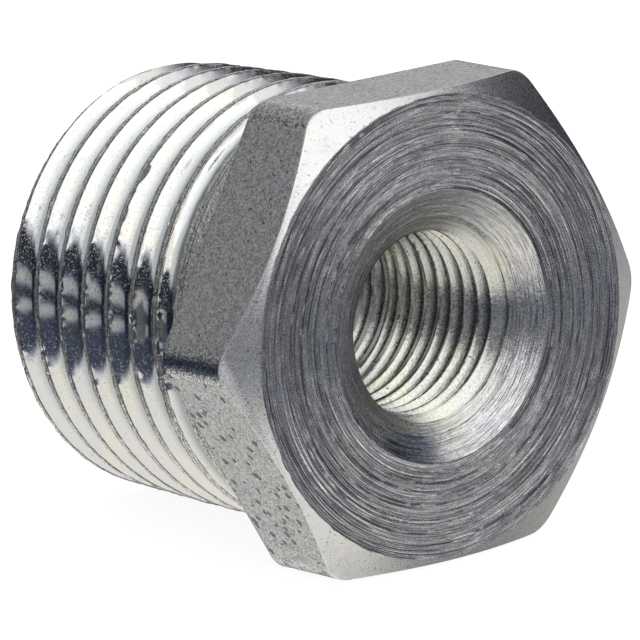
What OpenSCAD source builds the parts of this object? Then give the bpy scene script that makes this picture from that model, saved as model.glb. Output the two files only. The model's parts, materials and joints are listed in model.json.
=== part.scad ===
// Hexagon reducing bushing with a taper male thread and a smaller taper female thread.
// The pipe axis is X. The turned face of the head is at x = 0 and faces +X.
// The body is one piece of steel. Each module is one machined zone of it.

/* [Hexagon head] */
// Width across the flats, 7/8 in bar
hex_af = 22.225; // [22.2:0.005:26]
// Diameter across the rounded corners of the bar
corner_d = 25.2; // [24.8:0.1:25.6]
// Length of the head along the pipe axis
head_l = 5.1; // [4.5:0.1:8]
// Diameter of the turned front face
face_d = 21.8; // [20:0.1:22]
// Angle between the corner chamfer and the face
chamfer_a = 30; // [20:1:35]

/* [Male thread] */
// Threads per inch
male_tpi = 14; // [14:0.5:18]
// Length of the threaded shank, from the head to its end
shank_l = 14.8; // [14.2:0.1:16]
// Thread crest diameter at the small end
male_end_d = 20.4; // [20:0.05:21]
// Flat on each thread crest
male_flat = 0.26; // [0.2:0.01:0.4]
// Distance from the small end to the first crest
male_first = 1; // [0.9:0.05:1.1]
// Crests cut at full depth, counted from the small end
male_full = 6; // [5:1:6]
// Chamfer at the small end
male_lead = 0.5; // [0.3:0.1:0.8]

/* [Female thread] */
// Threads per inch
female_tpi = 27; // [27:1:28]
// Tapping drill diameter
drill_d = 8.7; // [8.6:0.05:9]
// Diameter of the countersunk mouth
mouth_d = 12.8; // [12:0.1:14]
// Thread root diameter at the head face
female_root_d = 10.24; // [10.1:0.02:10.4]
// Thread grooves in the bore
female_turns = 12; // [8:1:12]
// Chamfer where the drill leaves the shank
exit_chamfer = 0.5; // [0.2:0.1:0.8]

/* [Hidden] */
$fn = 96;
taper = 1 / 32;              // radius gained per length, from 1 in 16 on diameter
flank = tan(30);             // half of the 60 degree thread form
male_p = 25.4 / male_tpi;
male_depth = (male_p - male_flat) / 2 / flank;
female_p = 25.4 / female_tpi;
drill_r = drill_d / 2;
mouth_r = mouth_d / 2;
sink_l = (mouth_r - drill_r) * tan(30);
groove_0 = sink_l + 0.6 * female_p;
port_l = groove_0 + (female_turns - 0.2) * female_p;
end_x = -head_l - shank_l;

// Crest radius of the male thread, s from the small end
function crest_r(s) = male_end_d / 2 + s * taper;

// Depth of the male groove after crest k, which runs out towards the head
function cut(k) = male_depth * (k < male_full - 1 ? 1 : k < male_full ? 0.6 : 0.25);

// Depth of the female groove k, which runs out with the taper
function bite(k) = female_root_d / 2 - (groove_0 + k * female_p) * taper - drill_r;

// Turn a profile of [radius, x] points about the pipe axis
module turned(points) {
    rotate([0, 90, 0])
        rotate_extrude()
            polygon(points);
}

// Hexagon of the wrench flats, two of them level, with the bar's rounded corners
module hexagon_bar() {
    intersection() {
        rotate([0, -90, 0])
            rotate([0, 0, 30])
                cylinder(d = hex_af / cos(30), h = head_l, $fn = 6);
        rotate([0, -90, 0])
            cylinder(d = corner_d, h = head_l);
    }
}

// Head: turned face, corner chamfer and six flats
module hex_head() {
    rim_r = corner_d / 2 + 1;
    rim_x = -(rim_r - face_d / 2) * tan(chamfer_a);
    color("silver")
        intersection() {
            hexagon_bar();
            turned([
                [mouth_r, 0],
                [face_d / 2, 0],
                [rim_r, rim_x],
                [rim_r, -head_l],
                [mouth_r, -head_l]
            ]);
        }
}

// Shank: taper thread drawn as rings, run out before the head, with the plain bore behind the tapped one
module male_thread() {
    last = male_full + 1;
    half = male_flat / 2;
    lead_r = crest_r(0) - male_lead;
    ridges = [
        for (k = [0 : last - 1])
            let (s = male_first + k * male_p, r = crest_r(s), d = cut(k))
            each [
                [r, end_x + s - half],
                [r, end_x + s + half],
                [r - d, end_x + s + half + d * flank],
                if (k >= male_full - 1) [crest_r(s + male_p), end_x + s + half + 2 * d * flank]
            ]
    ];
    color("gainsboro")
        turned(concat(
            [[drill_r + exit_chamfer, end_x], [lead_r, end_x]],
            ridges,
            [
                [crest_r(shank_l), -head_l],
                [mouth_r, -head_l],
                [mouth_r, -port_l],
                [drill_r, -port_l],
                [drill_r, end_x + exit_chamfer]
            ]
        ));
}

// Tapped port: countersunk mouth and taper thread drawn as rings in the drilled bore
module female_thread() {
    grooves = [
        for (k = [0 : female_turns - 1])
            let (x = -groove_0 - k * female_p, d = bite(k) * (k < female_turns - 1 ? 1 : 0.5))
            each [
                [drill_r, x + d * flank],
                [drill_r + d, x],
                [drill_r, x - d * flank]
            ]
    ];
    color("lightsteelblue")
        turned(concat(
            [[mouth_r, 0], [drill_r, -sink_l]],
            grooves,
            [[drill_r, -port_l], [mouth_r, -port_l]]
        ));
}

hex_head();
male_thread();
female_thread();
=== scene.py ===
"""A zinc-plated hexagon reducing bushing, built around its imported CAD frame.

Every length in the mesh code is in millimetres, with x along the pipe axis and the turned face at x = 0.
Objects are written in metres, in the row frame.
"""

import json
import math

import bmesh
import bpy
import numpy as np
from mathutils import Matrix, Vector


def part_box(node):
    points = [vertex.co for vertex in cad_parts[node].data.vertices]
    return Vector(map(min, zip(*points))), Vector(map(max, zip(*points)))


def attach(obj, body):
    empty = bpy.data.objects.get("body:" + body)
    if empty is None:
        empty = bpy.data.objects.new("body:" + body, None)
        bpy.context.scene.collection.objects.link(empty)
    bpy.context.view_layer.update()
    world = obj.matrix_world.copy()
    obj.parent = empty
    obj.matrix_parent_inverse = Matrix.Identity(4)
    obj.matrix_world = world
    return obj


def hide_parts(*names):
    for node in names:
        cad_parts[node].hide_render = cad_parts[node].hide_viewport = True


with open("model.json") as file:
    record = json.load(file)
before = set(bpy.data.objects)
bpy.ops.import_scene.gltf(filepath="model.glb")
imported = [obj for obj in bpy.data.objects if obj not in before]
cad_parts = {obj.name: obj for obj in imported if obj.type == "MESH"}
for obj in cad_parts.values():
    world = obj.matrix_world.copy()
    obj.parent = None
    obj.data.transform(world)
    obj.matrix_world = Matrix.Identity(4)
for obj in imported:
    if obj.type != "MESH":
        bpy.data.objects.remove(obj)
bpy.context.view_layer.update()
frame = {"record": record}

bl_info = {
    "name": "Hexagon Reducing Bushing",
    "version": (1, 0, 0),
    "blender": (4, 5, 0),
    "location": "3D View > Sidebar > Bushing",
    "description": "Builds a zinc-plated hexagon reducing bushing with cut threads",
    "category": "Add Mesh",
}

MM = 0.001
INCH = 0.0254
TURN = 2 * math.pi
HALF_FORM = math.radians(30)  # half of the 60 degree thread form
TAPER = 1 / 32  # radius gained per length, from 1 in 16 on diameter
FIRST_CREST = 0.74  # millimetres from the small end to the first male crest, on the -Y side

HEAD_LOW, HEAD_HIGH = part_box("hex_head")
SHANK_LOW, SHANK_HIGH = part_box("male_thread")
PORT_LOW, PORT_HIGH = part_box("female_thread")
MOUNTS = {mount["name"]: mount for mount in frame["record"]["mounts"]}
DRILL_RADIUS = MOUNTS["female_port"]["dims"]["r_mm"] * MM


# ---------------------------------------------------------------- settings


def length(name, description, default):
    """A length in metres."""
    return bpy.props.FloatProperty(
        name=name, description=description, default=default,
        min=0, subtype="DISTANCE", unit="LENGTH", precision=6,
    )


def angle(name, description, degrees):
    """An angle, stored in radians."""
    return bpy.props.FloatProperty(
        name=name, description=description, default=math.radians(degrees), subtype="ANGLE", unit="ROTATION"
    )


def colour(name, description, default):
    """A linear colour."""
    return bpy.props.FloatVectorProperty(
        name=name, description=description, default=default, size=3, min=0, max=1, subtype="COLOR"
    )


def amount(name, description, default, top=1.0):
    """A plain number."""
    return bpy.props.FloatProperty(name=name, description=description, default=default, min=0, max=top)


class HeadSettings(bpy.types.PropertyGroup):
    """Sizes of the hexagon head."""

    across_flats: length("Across Flats", "Width over two opposite wrench flats", HEAD_HIGH.z - HEAD_LOW.z)
    across_corners: length("Across Corners", "Width over two rounded corners", HEAD_HIGH.y - HEAD_LOW.y)
    thickness: length("Thickness", "Length of the head along the pipe axis", HEAD_HIGH.x - HEAD_LOW.x)
    face_radius: length("Face Radius", "Radius of the turned front face", 0.0109)
    chamfer: angle("Chamfer", "Angle between the corner chamfer and the face", 30)


class ShankSettings(bpy.types.PropertyGroup):
    """Sizes of the threaded shank."""

    end: length("Length", "Length of the shank behind the head", SHANK_HIGH.x - SHANK_LOW.x)
    pitch: length("Pitch", "Distance between thread crests", INCH / 14)
    crest_radius: length("Crest Radius", "Thread crest radius at the small end", 0.0102)
    crest_flat: length("Crest Flat", "Width of the flat on each crest", 0.00026)
    root_round: length("Root Radius", "Rounding at the bottom of the groove", 0.00046)
    lead: length("Lead Chamfer", "Chamfer at the small end", 0.0005)


class PortSettings(bpy.types.PropertyGroup):
    """Sizes of the tapped port."""

    depth: length("Depth", "Depth of the tapped length", PORT_HIGH.x - PORT_LOW.x)
    mouth_radius: length("Mouth Radius", "Radius of the countersunk mouth", PORT_HIGH.z)
    drill_radius: length("Drill Radius", "Radius of the tapping drill", DRILL_RADIUS)
    root_radius: length("Root Radius", "Thread root radius at the head face", 0.00512)
    pitch: length("Pitch", "Distance between thread grooves", INCH / 27)


class FinishSettings(bpy.types.PropertyGroup):
    """Colours of the zinc plate."""

    zinc: colour("Zinc", "Clear zinc plate", (0.64, 0.64, 0.65))
    straw: colour("Straw", "Yellow passivation tint", (0.72, 0.70, 0.60))
    blue: colour("Blue", "Blue passivation tint", (0.42, 0.45, 0.56))
    # Real dark deposit in pits and tears, and also painted shade along the bottoms of the turned grooves on
    # the face and in the countersink.
    deposit_and_groove_shade: colour("Pits", "Dark deposit in pits and grooves", (0.10, 0.10, 0.11))


class StageSettings(bpy.types.PropertyGroup):
    """Camera and light."""

    azimuth: angle("Azimuth", "Camera direction around the part", 50.7)
    elevation: angle("Elevation", "Camera height above the part", 12.35)
    roll: angle("Roll", "Tilt of the camera about its own axis", -2.89)
    distance: length("Distance", "Camera distance from the turned face", 0.45)
    view_width: length("View Width", "Width of the view at the part", 0.02962)
    key: amount("Key Light", "Strength of the front softbox", 0.40, 20)


# ---------------------------------------------------------------- places on the part


def toward(y, z, degrees):
    """Distance from the pipe axis along one direction, given as its angle from +Y towards +Z."""
    direction = math.radians(degrees)
    return y * math.cos(direction) + z * math.sin(direction)


def bar_radius(crest, s):
    """Radius of the turned bar, s millimetres from the small end: a little under size near the head."""
    return crest + 0.22 + (s - 7) * (TAPER * 0.3)


# ---------------------------------------------------------------- shader graphs


class Socket:
    """An output socket that can be used in arithmetic."""

    def __init__(self, graph, output):
        self.graph = graph
        self.output = output

    def math(self, operation, *values):
        """One Math node."""
        return self.graph.node("ShaderNodeMath", {"operation": operation}, dict(enumerate(values)))

    def __add__(self, other):
        return self.math("ADD", self, other)

    __radd__ = __add__

    def __sub__(self, other):
        return self.math("SUBTRACT", self, other)

    def __rsub__(self, other):
        return self.math("SUBTRACT", other, self)

    def __mul__(self, other):
        return self.math("MULTIPLY", self, other)

    __rmul__ = __mul__

    def __truediv__(self, other):
        return self.math("DIVIDE", self, other)

    def __rtruediv__(self, other):
        return self.math("DIVIDE", other, self)

    def __pow__(self, other):
        return self.math("POWER", self, other)

    def __abs__(self):
        return self.math("ABSOLUTE", self)


class Graph:
    """Builds the nodes of one material or world."""

    def __init__(self, tree):
        self.tree = tree
        tree.nodes.clear()

    def node(self, kind, settings, inputs, output=0):
        """Add a node, set it up, then fill its sockets with values or links."""
        node = self.tree.nodes.new(kind)
        for name, value in settings.items():
            setattr(node, name, value)
        for key, value in inputs.items():
            if isinstance(value, Socket):
                self.tree.links.new(value.output, node.inputs[key])
            else:
                node.inputs[key].default_value = value
        return Socket(self, node.outputs[output]) if node.outputs else node

    def combine(self, x, y, z):
        """A vector from three values."""
        return self.node("ShaderNodeCombineXYZ", {}, {0: x, 1: y, 2: z})

    def split(self, vector):
        """The three values of a vector."""
        return [self.node("ShaderNodeSeparateXYZ", {}, {0: vector}, n) for n in range(3)]

    def noise(self, vector, scale, detail=2.0, rough=0.5):
        """Cloudy noise, mostly between 0.3 and 0.7."""
        inputs = {"Vector": vector, "Scale": scale, "Detail": detail, "Roughness": rough}
        return self.node("ShaderNodeTexNoise", {"noise_dimensions": "3D"}, inputs)

    def cells(self, vector, scale):
        """Distance from the nearest of many scattered points."""
        return self.node("ShaderNodeTexVoronoi", {"feature": "F1"}, {"Vector": vector, "Scale": scale})

    def ramp(self, value, low, high, start=0.0, end=1.0):
        """Value mapped smoothly from low..high to start..end, and held outside."""
        inputs = {"Value": value, 1: low, 2: high, 3: start, 4: end}
        return self.node("ShaderNodeMapRange", {"interpolation_type": "SMOOTHSTEP"}, inputs)

    def mix(self, under, over, factor):
        """Two colours mixed by a factor."""
        settings = {"data_type": "RGBA", "blend_type": "MIX"}
        shades = [s if isinstance(s, Socket) else (*s, 1) for s in (under, over)]
        return self.node("ShaderNodeMix", settings, {0: factor, 6: shades[0], 7: shades[1]}, 2)

    def bump(self, height, distance, under=None):
        """A bump on top of another, distance being the rise in millimetres where the height is 1."""
        inputs = {"Height": height, "Distance": distance * MM, "Strength": 1.0}
        if under:
            inputs["Normal"] = under
        return self.node("ShaderNodeBump", {}, inputs)

    def millimetres(self):
        """The place on the part, in millimetres."""
        place = self.node("ShaderNodeTexCoord", {}, {}, 3)
        return self.node("ShaderNodeVectorMath", {"operation": "SCALE"}, {0: place, 3: 1 / MM})


def metal(name, make):
    """A metallic material whose colour, roughness and normal come from make(graph)."""
    material = bpy.data.materials.new(name)
    material.use_nodes = True
    graph = Graph(material.node_tree)
    shade, rough, normal = make(graph)
    inputs = {"Base Color": shade, "Metallic": 1.0, "Roughness": rough, "Normal": normal}
    surface = graph.node("ShaderNodeBsdfPrincipled", {}, inputs)
    graph.node("ShaderNodeOutputMaterial", {}, {"Surface": surface})
    return material


def around(graph, place, fine, along):
    """Radius, x, and coordinates that follow turning marks: fine across the radius, slow round the axis."""
    x, y, z = graph.split(place)
    radius = (y * y + z * z) ** 0.5
    return radius, x, graph.combine(radius * fine + x * fine * 1.3, y / radius * along, z / radius * along)


def tinted(graph, place, finish, amount_straw, amount_blue):
    """Zinc plate with cloudy straw and blue tints."""
    cloud = graph.noise(place, 0.35, 3)
    straw = graph.ramp(cloud, 0.45, 0.68, 0, amount_straw)
    shade = graph.mix(tuple(finish.zinc), tuple(finish.straw), straw)
    other = graph.noise(place, 0.5, 3, 0.6)
    blue = graph.ramp(other, 0.5, 0.75, 0, amount_blue)
    return graph.mix(shade, tuple(finish.blue), blue)


def turned_face(graph):
    """Coarsely turned face: concentric grooves with painted shade along their bottoms and painted glints as
    bright broken lines.
    """
    finish = bpy.context.scene.bushing_finish
    place = graph.millimetres()
    broad = graph.noise(around(graph, place, 2.4, 0.9)[2], 1.0, 3, 0.6)
    lines = graph.noise(around(graph, place, 8.0, 0.9)[2], 1.0, 3, 0.65)
    hairs = graph.noise(around(graph, place, 15.0, 3.0)[2], 1.0, 2, 0.6)
    breaks = graph.noise(around(graph, place, 4.0, 12.0)[2], 1.0, 2, 0.6)
    grain = graph.noise(place, 10.0, 3, 0.7)
    shade = tinted(graph, place, finish, 0.25, 0.2)
    shade = graph.mix(shade, (0.38, 0.38, 0.40), graph.ramp(broad, 0.40, 0.62, 0.0, 0.85))
    # painted shade along the bottoms of the grooves
    shade = graph.mix(shade, tuple(finish.deposit_and_groove_shade), graph.ramp(lines, 0.40, 0.50, 0.85, 0.0))
    # painted glints: bright broken lines along the grooves
    bright = graph.ramp(hairs, 0.50, 0.60) * graph.ramp(breaks, 0.45, 0.58)
    shade = graph.mix(shade, (0.90, 0.90, 0.89), bright * 0.85)
    shade = graph.mix(shade, tuple(finish.deposit_and_groove_shade), graph.ramp(grain, 0.32, 0.42, 0.5, 0.0))
    rough = graph.ramp(grain, 0.3, 0.7, 0.20, 0.34)
    normal = graph.bump(lines, 0.040)
    normal = graph.bump(hairs * (0.35 + breaks), 0.038, normal)
    normal = graph.bump(grain, 0.010, normal)
    return shade, rough, normal


def chamfer_zinc(graph):
    """Turned chamfer: finer marks than the face, lightly blasted."""
    finish = bpy.context.scene.bushing_finish
    place = graph.millimetres()
    _, y, z = graph.split(place)
    fine = around(graph, place, 6.0, 2.0)[2]
    lines = graph.noise(fine, 1.0, 3, 0.6)
    grain = graph.noise(place, 12.0, 3, 0.7)
    pits = graph.ramp(graph.noise(place, 6.0, 2, 0.6), 0.30, 0.38, 0.6, 0.0)
    shade = tinted(graph, place, finish, 0.4, 0.3)
    shade = graph.mix(shade, tuple(finish.deposit_and_groove_shade), pits)
    rough = graph.ramp(grain, 0.3, 0.7, 0.20, 0.34)
    coarse = graph.ramp(toward(y, z, 200), 11.2, 11.7)  # one stretch below a corner is coarser
    normal = graph.bump(lines, 0.012)
    normal = graph.bump(grain * (1 + 3 * coarse), 0.012, normal)
    return shade, rough, normal


def drawn_flat(graph):
    """Drawn bar: granular plate with fine pits, and drag marks that are thickest on one lower flat."""
    finish = bpy.context.scene.bushing_finish
    crown = bpy.context.scene.bushing_head.across_corners / MM / 2
    place = graph.millimetres()
    x, y, z = graph.split(place)
    slant = graph.combine(x * 1.2 + z * 0.45, y, z)
    corner = graph.ramp((y * y + z * z) ** 0.5, crown - 0.26, crown - 0.14)
    grain = graph.noise(place, 8.5, 3, 0.75)
    cloud = graph.noise(place, 1.3, 2, 0.6)
    worn = graph.ramp(toward(y, z, 210), 9.6, 11.0)
    sound = (1 - worn) * 0.09 + graph.ramp(toward(y, z, 150), 9.6, 11.0) * 0.08
    spots = graph.ramp(graph.noise(place, 4.2, 2, 0.5) + worn * 0.04, 0.26, 0.34, 0.8, 0.0)
    ragged = (graph.noise(place, 5.0, 1) - 0.5) * 0.18
    small, large = (graph.cells(slant, scale) + ragged for scale in (1.35, 0.8))
    drags = graph.ramp(small + sound + (cloud - 0.5) * 0.3, 0.18, 0.26, 1, 0)
    drags = drags.math("MAXIMUM", drags, graph.ramp(large + sound * 2.2, 0.12, 0.17, 1, 0)) * 0.85
    shade = tinted(graph, place, finish, 0.15, 0.1)
    shade = graph.mix(shade, (0.70, 0.70, 0.69), graph.ramp(grain, 0.52, 0.66, 0.0, 0.9))
    shade = graph.mix(shade, (0.22, 0.22, 0.23), graph.ramp(grain, 0.36, 0.54, 0.9, 0.0))
    mottle = graph.ramp(graph.noise(place, 3.6, 3, 0.7), 0.38, 0.54, 0.55, 0.0)
    shade = graph.mix(shade, (0.30, 0.30, 0.30), mottle)
    shade = graph.mix(shade, tuple(finish.deposit_and_groove_shade), spots)
    shade = graph.mix(shade, tuple(finish.deposit_and_groove_shade), drags)
    shade = graph.mix(shade, tuple(finish.deposit_and_groove_shade), corner * graph.ramp(grain, 0.42, 0.55, 0.6, 0.0))
    rough = graph.ramp(grain, 0.3, 0.7, 0.26, 0.42) - corner * 0.18
    normal = graph.bump(grain * (1 - 0.55 * corner), 0.045)
    normal = graph.bump(1 - spots, 0.025, normal)
    normal = graph.bump(1 - drags, 0.040, normal)
    return shade, rough, normal


def cut_thread(graph):
    """Bright cut thread: smooth flanks, shaded roots and torn, dull crests."""
    finish, shank = bpy.context.scene.bushing_finish, bpy.context.scene.bushing_shank
    pitch, crest, end = shank.pitch / MM, shank.crest_radius / MM, SHANK_LOW.x / MM
    place = graph.millimetres()
    x, y, z = graph.split(place)
    radius, _, fine = around(graph, place, 7.0, 2.5)
    s = x - end
    turn = z.math("ARCTAN2", z, y) / TURN
    phase = (s - FIRST_CREST) / pitch - turn + 0.5
    from_crest = 0.5 - abs(x.math("FRACT", phase) - 0.5)
    lines = graph.noise(fine, 1.0, 3, 0.6)
    grain = graph.noise(place, 8.0, 4, 0.7)
    torn = graph.noise(place, 5.5, 3, 0.65)
    flecks = graph.noise(place, 13.0, 2, 0.6)
    below = s.math("MINIMUM", s * TAPER + crest, bar_radius(crest, s)) - radius
    on_crest = graph.ramp(below + (torn - 0.5) * 0.06, 0.012, 0.040, 1, 0)
    edge = graph.ramp(abs(from_crest - 0.066), 0.010, 0.028, 1, 0) * graph.ramp(torn, 0.36, 0.50, 0.35, 1)
    root = graph.ramp(from_crest, 0.19, 0.34)
    frayed = graph.ramp(x, HEAD_LOW.x / MM - 3.0, HEAD_LOW.x / MM - 1.6)
    tears = graph.ramp(torn, 0.28, 0.34, 0.5, 0.0)
    shade = tinted(graph, place, finish, 0.6, 0.04)
    # painted shade in the roots of the thread
    shade = graph.mix(shade, (0.29, 0.32, 0.34), root * 0.85)
    shade = graph.mix(shade, tuple(finish.deposit_and_groove_shade), tears)
    ragged = graph.mix((0.80, 0.79, 0.75), (0.18, 0.18, 0.18), graph.ramp(flecks, 0.38, 0.54, 0.9, 0.0))
    shade = graph.mix(shade, ragged, on_crest)
    shade = graph.mix(shade, (0.12, 0.12, 0.12), edge * 0.85)
    rough = graph.ramp(grain, 0.3, 0.7, 0.05, 0.11) + on_crest * 0.25 + edge * 0.15 + frayed * 0.12
    normal = graph.bump(lines, 0.0010)
    normal = graph.bump(graph.ramp(flecks, 0.60, 0.76) + flecks * on_crest * 6, 0.0030, normal)
    normal = graph.bump(torn * (on_crest + 0.6 * frayed), 0.05, normal)
    return shade, rough, normal


def countersunk(graph):
    """Countersink: coarse concentric chatter with painted glints and painted shade in its grooves, darker
    towards the top, with a painted dark navy reflection low on the -Y side and dark grain pits.
    """
    finish = bpy.context.scene.bushing_finish
    place = graph.millimetres()
    _, y, z = graph.split(place)
    upper = graph.ramp(z, 2.0, 5.2)
    painted_navy_reflection = graph.ramp(z, -5.0, -4.2, 1, 0) * graph.ramp(abs(y + 2.1), 0.9, 2.2, 1, 0)  # painted dark navy reflection low on the -Y side
    lines = graph.noise(around(graph, place, 7.0, 1.2)[2], 1.0, 3, 0.65)
    hairs = graph.noise(around(graph, place, 12.0, 4.0)[2], 1.0, 2, 0.6)
    breaks = graph.noise(around(graph, place, 4.0, 14.0)[2], 1.0, 2, 0.6)
    grain = graph.noise(place, 10.0, 3, 0.7)
    shade = tinted(graph, place, finish, 0.6, 0.15)
    # painted shade along the bottoms of the chatter grooves
    shade = graph.mix(shade, (0.36, 0.35, 0.38), graph.ramp(lines, 0.38, 0.54, 0.75, 0.0))
    # painted glints: bright broken streaks along the grooves
    bright = graph.ramp(hairs, 0.52, 0.62) * graph.ramp(breaks, 0.40, 0.55)
    shade = graph.mix(shade, (0.88, 0.88, 0.86), bright)
    # colour darkened towards the top
    shade = graph.mix(shade, (0.20, 0.20, 0.22), upper * 0.55)
    # more painted shade in the bottoms of the fine grooves
    shade = graph.mix(shade, tuple(finish.deposit_and_groove_shade), graph.ramp(hairs, 0.34, 0.43, 0.6, 0.0))
    shade = graph.mix(shade, tuple(finish.deposit_and_groove_shade), graph.ramp(grain, 0.30, 0.40, 0.6, 0.0))
    # painted dark navy reflection, strongest in the groove bottoms
    shade = graph.mix(shade, (0.07, 0.08, 0.14), painted_navy_reflection * graph.ramp(lines, 0.36, 0.62, 0.95, 0.45))
    rough = graph.ramp(grain, 0.3, 0.7, 0.16, 0.30)
    normal = graph.bump(lines, 0.036)
    normal = graph.bump(hairs * (0.35 + breaks), 0.032, normal)
    normal = graph.bump(grain, 0.010, normal)
    return shade, rough, normal


def tapped_bore(graph):
    """Tapped bore: straw-tinted plate with fine cutting marks, duller than the outside."""
    finish = bpy.context.scene.bushing_finish
    place = graph.millimetres()
    _, x, fine = around(graph, place, 8.0, 1.8)
    lines = graph.noise(fine, 1.0, 3, 0.65)
    grain = graph.noise(place, 9.0, 4, 0.7)
    opening = graph.ramp(x, -1.5, -0.9)
    # colour darkened towards the top near the mouth, most along the cutting marks
    top_darkening = opening * graph.ramp(graph.split(place)[2], 1.5, 4.4)
    pits = graph.ramp(graph.noise(place, 5.5, 2, 0.5), 0.25, 0.34, 0.6, 0.0)
    shade = tinted(graph, place, finish, 0.9, 0.0)
    shade = graph.mix(shade, (0.30, 0.30, 0.32), graph.ramp(lines, 0.38, 0.54, 0.75, 0.0) * opening)
    shade = graph.mix(shade, (0.10, 0.10, 0.13), top_darkening * graph.ramp(lines, 0.40, 0.60, 0.95, 0.35))
    shade = graph.mix(shade, (0.42, 0.43, 0.36), graph.ramp(grain, 0.36, 0.60, 0.7, 0.1))
    shade = graph.mix(shade, tuple(finish.deposit_and_groove_shade), pits)
    rough = graph.ramp(grain, 0.3, 0.7, 0.12, 0.26)
    normal = graph.bump(lines * (0.3 + opening), 0.026)
    normal = graph.bump(grain, 0.008, normal)
    return shade, rough, normal


# ---------------------------------------------------------------- meshes


def field(seed, across, around_turns, cells_across, cells_around):
    """Smooth seeded noise in -1..1, periodic around the axis. Both coordinates run 0..1."""
    grid = np.random.default_rng(seed).uniform(-1, 1, (cells_across + 1, cells_around))
    u = np.clip(across, 0, 0.999999) * cells_across
    v = np.mod(around_turns, 1) * cells_around
    i, j = u.astype(int), v.astype(int)
    fu, fv = u - i, v - j
    fu, fv = fu * fu * (3 - 2 * fu), fv * fv * (3 - 2 * fv)
    k = np.mod(j + 1, cells_around)
    j = np.mod(j, cells_around)
    near = grid[i, j] * (1 - fv) + grid[i, k] * fv
    far = grid[i + 1, j] * (1 - fv) + grid[i + 1, k] * fv
    return near * (1 - fu) + far * fu


def step(value, low, high):
    """Smooth step from 0 at low to 1 at high."""
    t = np.clip((value - low) / (high - low), 0, 1)
    return t * t * (3 - 2 * t)


def ring_mesh(name, bands, turns, materials):
    """A closed ring made of bands that follow each other round the profile, the last joining the first.

    Each band is (x, radius, material, lead). x and radius are rows by columns, and turns holds the angle
    of each column as a share of a full turn. Going once round, a helical band moves on by lead rows.
    """
    x = np.vstack([band[0] for band in bands])
    radius = np.vstack([band[1] for band in bands])
    counts = [len(band[0]) for band in bands]
    kinds = np.repeat([band[2] for band in bands], counts)
    rows, columns = x.shape
    phi = TURN * turns
    points = np.stack([x, radius * np.cos(phi), radius * np.sin(phi)], axis=-1) * MM
    index = np.arange(rows * columns).reshape(rows, columns)
    ends = np.cumsum(counts)
    starts, leads = ends - counts, [band[3] for band in bands]
    moved = [np.clip(np.arange(a, b) + lead, a, b - 1) for a, b, lead in zip(starts, ends, leads)]
    right = np.column_stack([index[:, 1:], index[np.concatenate(moved), 0]])
    below, corner = np.roll(index, -1, 0), np.roll(right, -1, 0)
    quads = np.stack([index, right, corner, below], axis=-1).reshape(-1, 4)
    return solid(name, points.reshape(-1, 3), quads, np.repeat(kinds, columns), materials)


def solid(name, points, quads, kinds, materials):
    """A mesh object from points and quads, with touching points merged and flattened quads dropped."""
    keys = np.round(points / (0.0005 * MM)).astype(np.int64)
    _, first, same = np.unique(keys, axis=0, return_index=True, return_inverse=True)
    points, quads = points[first], same.reshape(-1)[quads]
    faces, slots = [], []
    for quad, kind in zip(quads.tolist(), kinds.tolist()):
        face = [p for n, p in enumerate(quad) if p != quad[n - 1]]
        if len(set(face)) == len(face) > 2:
            faces.append(face)
            slots.append(kind)
    mesh = bpy.data.meshes.new(name)
    mesh.from_pydata(points.tolist(), [], faces)
    mesh.polygons.foreach_set("material_index", np.array(slots, dtype=np.int32))
    mesh.polygons.foreach_set("use_smooth", np.ones(len(faces), dtype=bool))
    for material in materials:
        mesh.materials.append(material)
    shell = bmesh.new()
    shell.from_mesh(mesh)
    bmesh.ops.recalc_face_normals(shell, faces=shell.faces)
    if not all(edge.is_manifold for edge in shell.edges):
        raise RuntimeError(f"{name} isn't a closed solid")
    shell.to_mesh(mesh)
    shell.free()
    mesh.set_sharp_from_angle(angle=math.radians(38))
    piece = bpy.data.objects.new(name, mesh)
    bpy.context.scene.collection.objects.link(piece)
    return piece


def flat_band(x0, r0, x1, r1, count, columns, ends=True):
    """Rows along a straight line of the profile, the same all the way round."""
    t = np.linspace(0, 1, count, endpoint=ends)[:, None] * np.ones(columns)
    return x0 + (x1 - x0) * t, r0 + (r1 - r0) * t


def groove_relief(seed, across, turns, count, depth, wide=1.0):
    """Depth of irregular concentric tool marks, 0 or less. across runs 0..1 over the radius."""
    rng = np.random.default_rng(seed)
    drift = across + 0.003 * wide * field(seed + 1, across, turns, 4, 5)
    relief = np.zeros_like(across)
    for _ in range(count):
        place, width = rng.uniform(0.01, 0.99), rng.uniform(0.006, 0.015) * wide
        weight = 0.55 + 0.45 * field(seed + 2, across, turns + place, 3, 6)
        relief -= rng.uniform(0.3, 1) * weight * np.exp(-(((drift - place) / width) ** 2))
    return depth * np.clip(relief, -1.4, 0)


def hexagon_turns(count_flat, count_corner, half_corner):
    """Columns over one turn, closer together on the rounded corners."""
    turns = []
    for side in range(6):
        start = side * 60
        turns.append(start - half_corner + 2 * half_corner * np.arange(count_corner) / count_corner)
        flat = np.arange(count_flat) / count_flat
        turns.append(start + half_corner + (60 - 2 * half_corner) * flat)
    return np.concatenate(turns) / 360


def hexagon_radius(turns, flats, corners):
    """Distance from the axis to a hexagon with rounded corners, corners at angle 0."""
    half = flats / 2
    sharp = half / math.cos(math.radians(30))
    fillet = (sharp - corners / 2) / (1 / math.cos(math.radians(30)) - 1)
    centre = (half - fillet) / math.cos(math.radians(30))
    off = np.radians(np.mod(turns * 360 + 30, 60) - 30)  # from the nearest corner
    straight = half / np.cos(math.radians(30) - np.abs(off))
    inside = np.maximum(fillet**2 - (centre * np.sin(off)) ** 2, 0)
    rounded = centre * np.cos(off) + np.sqrt(inside)
    limit = math.atan2(fillet * 0.5, centre + fillet * math.cos(math.radians(30)))
    return np.where(np.abs(off) < limit, rounded, straight), math.degrees(limit)


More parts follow.
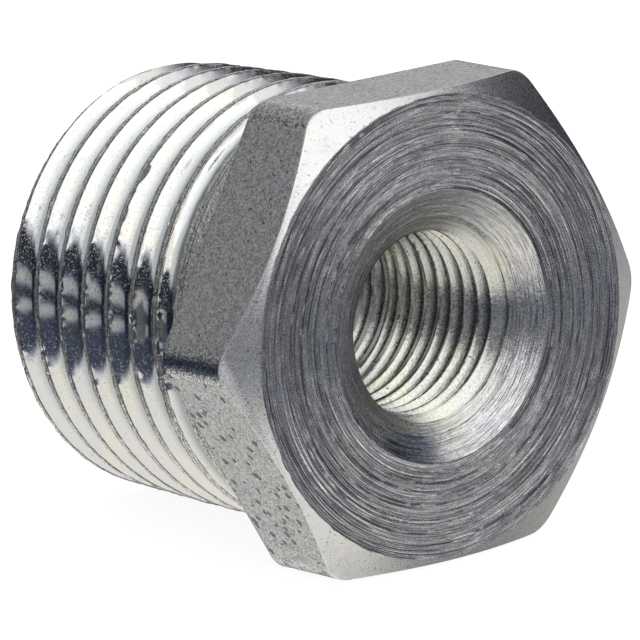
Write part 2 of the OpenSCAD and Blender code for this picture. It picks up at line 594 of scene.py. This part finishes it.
class BUSHING_OT_head(bpy.types.Operator):
    """Build the hexagon head with its turned face, chamfered corners and pitted flats"""

    bl_idname = "bushing.head"
    bl_label = "Hexagon Head"

    def execute(self, context):
        sizes = context.scene.bushing_head
        mouth = context.scene.bushing_port.mouth_radius / MM
        flats, corners = sizes.across_flats / MM, sizes.across_corners / MM
        back, face = -sizes.thickness / MM, sizes.face_radius / MM
        slope = math.tan(sizes.chamfer)
        limit = hexagon_radius(np.zeros(1), flats, corners)[1]
        turns = hexagon_turns(count_flat=60, count_corner=20, half_corner=limit)
        columns = len(turns)
        rim = hexagon_radius(turns, flats, corners)[0][None, :]
        edge = 0.06  # softening of the cut edges

        across = np.linspace(0, 1, 140)[:, None] * np.ones(columns)
        brink = face + 0.035 * field(12, 0 * turns, turns, 1, 190)[None, :]  # a slightly ragged edge
        radius = mouth + (brink - mouth) * across
        calm = step(across, 0.0, 0.02) * (1 - step(across, 0.985, 1.0))  # no marks right at the two edges
        relief = groove_relief(11, across, turns, count=58, depth=0.013) * calm
        relief += 0.0040 * (field(14, across, turns, 100, 5) - 1) * calm
        relief += 0.0020 * (field(19, across, turns, 138, 30) - 1) * calm
        top = (relief, radius)

        reach = np.linspace(0.02, 0.98, 12)[:, None]  # from the face to the flats, clear of both edges
        wide = brink + (rim - brink) * reach
        wave = 0.012 * field(15, reach * np.ones(columns), turns, 2, 24) * np.sin(math.pi * reach)
        cone = (-(wide - face) * slope + wave, wide)

        brow = -(rim - face) * slope
        t = np.linspace(0, 1, 30)[:, None]
        front, rear = brow - edge, back + edge * 1.5
        x = front + (rear - front) * t
        pits = field(16, t * np.ones(columns), turns, 34, 520)
        drags = field(17, t * np.ones(columns), turns + 0.012 * t, 12, 420)
        dent = 0.016 * step(pits, 0.62, 0.95) + 0.03 * step(drags, 0.70, 0.95)
        dent += 0.006 * (field(18, t * np.ones(columns), turns, 5, 60) + 1)
        dent *= np.sin(math.pi * np.clip(t * 1.06 - 0.03, 0, 1)) ** 0.3  # fades out at the cut edges
        side = (x, rim - dent)

        behind = np.full_like(rim, back)
        heel = (np.vstack([behind + edge * 0.4, behind]), np.vstack([rim - edge * 0.5, rim - edge * 1.6]))
        seat = flat_band(back, 11.0, back, 9.0, 6, columns)
        seat = (seat[0], np.minimum(seat[1], rim - edge * 2))
        core = flat_band(back, mouth, 0, mouth, 4, columns, False)
        bands = [(*top, 0, 0), (*cone, 1, 0), (*side, 2, 0), (*heel, 2, 0), (*seat, 0, 0), (*core, 0, 0)]
        makers = {"turned_face": turned_face, "chamfer_zinc": chamfer_zinc, "drawn_flat": drawn_flat}
        skins = [metal(name, make) for name, make in makers.items()]
        piece = ring_mesh("bushing_head", bands, turns, skins)
        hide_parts("hex_head")
        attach(piece, "root")
        return {"FINISHED"}


class BUSHING_OT_shank(bpy.types.Operator):
    """Build the shank with its right-hand taper thread, run-out, faced end and plain bore"""

    bl_idname = "bushing.shank"
    bl_label = "Threaded Shank"

    def execute(self, context):
        sizes = context.scene.bushing_shank
        port = context.scene.bushing_port
        back = -context.scene.bushing_head.thickness / MM
        span, pitch = sizes.end / MM, sizes.pitch / MM
        end = back - span
        crest, lead = sizes.crest_radius / MM, sizes.lead / MM
        mouth, drill, deep = port.mouth_radius / MM, port.drill_radius / MM, -port.depth / MM
        columns = 420
        turns = np.arange(columns) / columns

        half = sizes.crest_flat / MM / 2 / pitch
        at_crest = [half * share for share in (0, 0.6, 0.92, 1.12, 1.5)]
        marks = at_crest + [0.16, 0.22, 0.28, 0.335, 0.39, 0.445, 0.5]  # places along half a pitch
        marks = np.array(marks + [1 - m for m in reversed(marks[1:-1])])
        places = np.concatenate([k + marks for k in range(-1, 9)])[:, None]
        near, far = 0.06, span - 0.05  # the helical rows are held between these distances from the end
        s = np.clip((places + FIRST_CREST / pitch + (turns - 0.5)) * pitch, near, far)
        x, radius = self.thread(s, turns, sizes)
        thread = (end + x, radius)

        bevelled = 0.5  # chamfer where the bore leaves the shank
        hole = drill + bevelled
        bore = flat_band(deep, drill, end + bevelled, drill, 4, columns)
        bevel = flat_band(end + bevelled - 0.05, drill + 0.05, end + 0.02, hole - 0.02, 3, columns)
        across = np.linspace(0, 1, 30)[:, None] * np.ones(columns)
        faced = groove_relief(31, across, turns, count=12, depth=0.012, wide=4)
        faced *= np.sin(math.pi * across) ** 0.3
        rim = (end - faced, hole + (crest - lead - hole) * across)
        join = flat_band(back, radius[-1], back, mouth, 3, columns)
        core = flat_band(back, mouth, deep, mouth, 3, columns, False)
        close = flat_band(deep, mouth, deep, drill, 3, columns, False)
        bands = [(*bore, 1, 0), (*bevel, 1, 0), (*rim, 2, 0), (*thread, 0, len(marks))]
        bands += [(*join, 1, 0), (*core, 1, 0), (*close, 1, 0)]
        makers = {"cut_thread": cut_thread, "drilled_bore": tapped_bore, "faced_end": turned_face}
        skins = [metal(name, make) for name, make in makers.items()]
        piece = ring_mesh("bushing_shank", bands, turns, skins)
        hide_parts("male_thread")
        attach(piece, "root")
        return {"FINISHED"}

    def thread(self, s, turns, sizes):
        """Distance from the small end and radius of the threaded surface, at a distance s from that end."""
        span, pitch, flat = sizes.end / MM, sizes.pitch / MM, sizes.crest_flat / MM
        crest, lead, rounding = sizes.crest_radius / MM, sizes.lead / MM, sizes.root_round / MM
        depth = (pitch - flat) / 2 / math.tan(HALF_FORM)
        phase = (s - FIRST_CREST) / pitch - (turns - 0.5)
        from_root = np.abs(np.mod(phase, 1) - 0.5) * pitch
        along = s / span
        top = crest + s * TAPER
        rise = np.clip((s - span + 3.6) / 5.0, 0, 1) ** 1.1  # the last threads of the die cut less and less
        root = top - depth * (1 - rise)
        bowl = 2 * rounding - np.sqrt(np.maximum(rounding**2 - from_root**2, 0))
        vee = np.where(from_root > rounding * math.cos(HALF_FORM), from_root / math.tan(HALF_FORM), bowl)
        radius = root + vee
        cap = np.minimum(top, bar_radius(crest, s))
        on_crest = step(radius, cap - 0.07, cap + 0.01)
        radius = np.minimum(radius, cap)
        burr = field(21, along, turns, 150, 420) * on_crest
        tear = step(field(22, along, turns, 60, 150), 0.45, 0.9) * on_crest
        radius = radius + 0.016 * burr - 0.04 * tear
        wobble = (0.0008 + 0.016 * step(s, span - 4.5, span - 2.5)) * field(23, along, turns, 90, 170)
        radius = np.minimum(radius + wobble, crest - lead + (s - 0.06) * 1.05)
        return s + 0.045 * field(24, along, turns, 80, 230) * on_crest * step(s, 0.1, 0.6), radius


class BUSHING_OT_port(bpy.types.Operator):
    """Build the tapped port with its countersunk mouth and right-hand taper thread"""

    bl_idname = "bushing.port"
    bl_label = "Tapped Port"

    def execute(self, context):
        sizes = context.scene.bushing_port
        mouth, drill, root = sizes.mouth_radius / MM, sizes.drill_radius / MM, sizes.root_radius / MM
        depth, pitch = sizes.depth / MM, sizes.pitch / MM
        slope = math.tan(HALF_FORM)
        columns = 360
        turns = np.arange(columns) / columns

        entry = 0.7  # depth at which the thread starts to cut the countersink
        s = np.linspace(0, entry, 44)[:, None] * np.ones(columns)
        across = s / entry
        relief = groove_relief(41, across, turns, count=16, depth=0.022, wide=3.2)
        relief += 0.007 * (field(44, across, turns, 40, 160) - 1) * step(across, 0.45, 0.7)
        relief += 0.004 * (field(45, across, turns, 40, 7) - 1)
        relief *= np.sin(math.pi * across) ** 0.3
        cone = (-s + relief, mouth - s / slope)

        marks = np.concatenate([[0, 0.04], np.linspace(0.12, 0.44, 6), [0.5]])
        marks = np.concatenate([marks, 1 - marks[-2:0:-1]])
        first = 0.70  # where the first groove is cut on the -Y side, in pitches
        places = np.concatenate([k + marks for k in range(-1, 15)])[:, None]
        s = np.clip((places + first - (turns - 0.5)) * pitch, entry, depth)
        phase = np.mod(s / pitch - first + (turns - 0.5), 1)
        from_root = np.minimum(phase, 1 - phase) * pitch
        bottom = root - s * TAPER - (root - drill) * step(s, depth - 1.4, depth - 0.2)
        vee = bottom - np.maximum(from_root - 0.03, 0) / slope
        land = drill + 0.005 * field(42, s / depth, turns, 60, 120)
        edge = np.exp(-(((vee - drill) / 0.06) ** 2))
        radius = np.maximum(vee, land) + 0.014 * edge * field(43, s / depth, turns, 120, 300)
        rough = 0.010 * (field(46, s / depth, turns, 200, 150) + 1)
        radius = np.maximum(radius, mouth - s / slope + rough * step(s, entry, entry + 0.05))
        thread = (-s, radius)

        close = flat_band(-depth, mouth, 0, mouth, 5, columns, False)
        bands = [(*cone, 0, 0), (*thread, 1, -len(marks)), (*close, 1, 0)]
        skins = [metal("countersink", countersunk), metal("tapped_thread", tapped_bore)]
        piece = ring_mesh("bushing_port", bands, turns, skins)
        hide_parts("female_thread")
        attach(piece, "root")
        return {"FINISHED"}


# ---------------------------------------------------------------- stage


# Each card is a patch of the room: its direction from the part, the angles from there in degrees at
# which it is full and gone, its brightness and its colour.
CARDS = (
    ((0.86, -0.30, 0.36), 20, 40, 1.2, (1.0, 1.0, 0.98)),  # white wall behind the camera
    ((-0.70, -0.58, 0.42), 20, 38, 0.40, (1.0, 1.0, 1.0)),  # grey back left
    ((-0.74, 0.62, 0.24), 18, 34, 0.80, (1.0, 1.0, 1.0)),  # pale backdrop
    ((0.24, 0.88, 0.41), 13, 29, 0.05, (0.92, 0.95, 1.08)),  # black flag on the right
    ((0.73, 0.65, -0.21), 8, 18, 0.30, (0.97, 0.97, 1.03)),  # dim side wall
    ((-0.12, 0.90, -0.41), 14, 27, 0.60, (1.0, 0.98, 0.93)),  # table edge on the right
    ((0.17, 0.62, -0.76), 14, 28, 0.28, (1.0, 0.98, 0.93)),
)


def studio_world():
    """The room round the part: pale ceiling and table, dark between them, with cards beside the part."""
    world = bpy.data.worlds.new("studio")
    world.use_nodes = True
    graph = Graph(world.node_tree)
    where = graph.node("ShaderNodeTexCoord", {}, {}, 0)
    x, y, z = graph.split(where)
    table = graph.ramp(z + 0.12 * graph.ramp(x, 0.0, -0.5), -0.41, -0.36, 1, 0)
    ceiling = graph.ramp(z, 0.205, 0.275)
    tone = 0.04 + 0.05 * graph.ramp(z, -0.10, -0.26) + table
    tone = tone + (0.45 + 0.75 * graph.ramp(x, 0.0, 0.4)) * ceiling
    shade = graph.mix((0.68, 0.84, 1.30), (1.0, 0.985, 0.93), table)
    shade = graph.mix(shade, (0.98, 1.0, 1.0), ceiling)
    front = graph.ramp(x, 0.6, 0.8) * graph.ramp(y, 0.1, -0.1)
    soft = 0.015  # half the width of the boxes' blurred edges
    for low, high in ((-0.03, 0.048), (-0.165, -0.102)):  # two grey boxes on the far side of the table
        box = graph.ramp(z, low - soft, low + soft) * graph.ramp(z, high - soft, high + soft, 1, 0) * front
        tone = tone + 0.52 * box
        shade = graph.mix(shade, (1, 1, 1), box)
    for direction, full, gone, bright, tint in CARDS:
        aim = tuple(Vector(direction).normalized())
        facing = graph.node("ShaderNodeVectorMath", {"operation": "DOT_PRODUCT"}, {0: where, 1: aim}, 1)
        card = graph.ramp(facing, math.cos(math.radians(gone)), math.cos(math.radians(full)))
        if direction[2] > 0:
            card = card * graph.ramp(z, 0.04, 0.12) if direction[0] < 0.5 else card * ceiling
        tone = tone * (1 - card) + bright * card
        shade = graph.mix(shade, tint, card)
    glow = graph.node("ShaderNodeVectorMath", {"operation": "SCALE"}, {0: shade, 3: tone})
    light = graph.node("ShaderNodeBackground", {}, {"Color": glow, "Strength": 1.0})
    graph.node("ShaderNodeOutputWorld", {}, {"Surface": light})
    bpy.context.scene.world = world


def softbox(name, direction, distance, width, height, strength):
    """A soft area light that faces the part, given its radiance."""
    data = bpy.data.lights.new(name, "AREA")
    data.shape = "RECTANGLE"
    data.size, data.size_y = width, height
    data.energy = strength * math.pi * width * height
    lamp = bpy.data.objects.new(name, data)
    away = Vector(direction).normalized()
    facing = away.to_track_quat("Z", "Y").to_matrix().to_4x4()
    lamp.matrix_world = Matrix.Translation(away * distance) @ facing
    lamp.visible_camera = False
    bpy.context.scene.collection.objects.link(lamp)


class BUSHING_OT_stage(bpy.types.Operator):
    """Set up the pale floor, the soft studio light and the camera"""

    bl_idname = "bushing.stage"
    bl_label = "Stage"

    def execute(self, context):
        settings = context.scene.bushing_stage
        studio_world()
        softbox("front_softbox", (0.84, 0.0, 0.55), 0.9, 1.0, 0.68, settings.key)
        self.floor(context.scene.bushing_shank)
        self.camera(settings)
        context.scene.view_settings.view_transform = "Standard"
        return {"FINISHED"}

    def floor(self, shank):
        """A pale floor under the head's rear edge and the end of the shank, and a pale wall round it."""
        heel, toe = HEAD_LOW.x, SHANK_LOW.x + 0.9 * MM  # where the head and the first crest touch the floor
        slope = (HEAD_LOW.z + shank.crest_radius) / (heel - toe)
        half, foot, top, sides = 1.1, -0.2, 0.7, 48
        square = ((-half, -half), (half, -half), (half, half), (-half, half))
        corners = [(x, y, HEAD_LOW.z - slope * (heel - x)) for x, y in square]
        self.scenery("floor", corners, [(0, 1, 2, 3)], 0.86, 0.4)
        angles = [TURN * n / sides for n in range(sides)]
        ring = [(half * math.cos(a), half * math.sin(a)) for a in angles]
        posts = [(x, y, z) for x, y in ring for z in (foot, top)]
        panels = [(n, (n + 2) % len(posts), (n + 3) % len(posts), n + 1) for n in range(0, len(posts), 2)]
        wall = self.scenery("wall", posts, panels, 1.0, 0.0)
        wall.visible_diffuse = wall.visible_shadow = False

    def scenery(self, name, points, faces, glow, paint):
        """A pale surface that glows a little and doesn't show in the metal."""
        mesh = bpy.data.meshes.new(name)
        mesh.from_pydata(points, [], faces)
        material = bpy.data.materials.new("pale_" + name)
        material.use_nodes = True
        graph = Graph(material.node_tree)
        light = graph.node("ShaderNodeEmission", {}, {"Color": (1, 1, 1, 1), "Strength": glow})
        matt = graph.node("ShaderNodeBsdfDiffuse", {}, {"Color": (paint, paint, paint, 1)})
        both = graph.node("ShaderNodeAddShader", {}, {0: light, 1: matt})
        graph.node("ShaderNodeOutputMaterial", {}, {"Surface": both})
        mesh.materials.append(material)
        piece = bpy.data.objects.new(name, mesh)
        bpy.context.scene.collection.objects.link(piece)
        piece.visible_glossy = False
        return piece

    def camera(self, settings):
        """A long lens from the front corner of the part."""
        a, e = settings.azimuth, settings.elevation
        back = Vector((math.sin(a) * math.cos(e), -math.cos(a) * math.cos(e), math.sin(e)))
        right = Vector((math.cos(a), math.sin(a), 0))
        up = back.cross(right)
        turn = Matrix.Rotation(settings.roll, 3, back)
        right, up = turn @ right, turn @ up
        aim = (right * -5.674 + up * 0.332) * MM  # the middle of the view, beside the turned face
        data = bpy.data.cameras.new("camera")
        data.sensor_width = 36
        data.lens = 36 * settings.distance / settings.view_width
        data.clip_start, data.clip_end = 0.01, 50
        eye = bpy.data.objects.new("camera", data)
        axes = Matrix((right, up, back)).transposed().to_4x4()
        eye.matrix_world = Matrix.Translation(aim + back * settings.distance) @ axes
        bpy.context.scene.collection.objects.link(eye)
        bpy.context.scene.camera = eye


# ---------------------------------------------------------------- add-on


class BUSHING_PT_panel(bpy.types.Panel):
    """Sidebar panel with the pieces and their settings"""

    bl_idname = "BUSHING_PT_panel"
    bl_label = "Reducing Bushing"
    bl_space_type = "VIEW_3D"
    bl_region_type = "UI"
    bl_category = "Bushing"

    def draw(self, context):
        for operator, group in STEPS:
            box = self.layout.box()
            settings = getattr(context.scene, group)
            for name in settings.__annotations__:
                box.prop(settings, name)
            box.operator(operator.bl_idname)
        for name in context.scene.bushing_finish.__annotations__:
            self.layout.prop(context.scene.bushing_finish, name)


STEPS = (
    (BUSHING_OT_head, "bushing_head"),
    (BUSHING_OT_shank, "bushing_shank"),
    (BUSHING_OT_port, "bushing_port"),
    (BUSHING_OT_stage, "bushing_stage"),
)
GROUPS = {
    "bushing_head": HeadSettings,
    "bushing_shank": ShankSettings,
    "bushing_port": PortSettings,
    "bushing_finish": FinishSettings,
    "bushing_stage": StageSettings,
}
CLASSES = (*GROUPS.values(), *(operator for operator, _ in STEPS), BUSHING_PT_panel)


def register():
    for cls in CLASSES:
        bpy.utils.register_class(cls)
    for name, group in GROUPS.items():
        setattr(bpy.types.Scene, name, bpy.props.PointerProperty(type=group))


def unregister():
    for name in GROUPS:
        delattr(bpy.types.Scene, name)
    for cls in reversed(CLASSES):
        bpy.utils.unregister_class(cls)


def main():
    """Build every piece and the stage."""
    register()
    bpy.ops.bushing.head()
    bpy.ops.bushing.shank()
    bpy.ops.bushing.port()
    bpy.ops.bushing.stage()


if __name__ == "__main__":
    main()
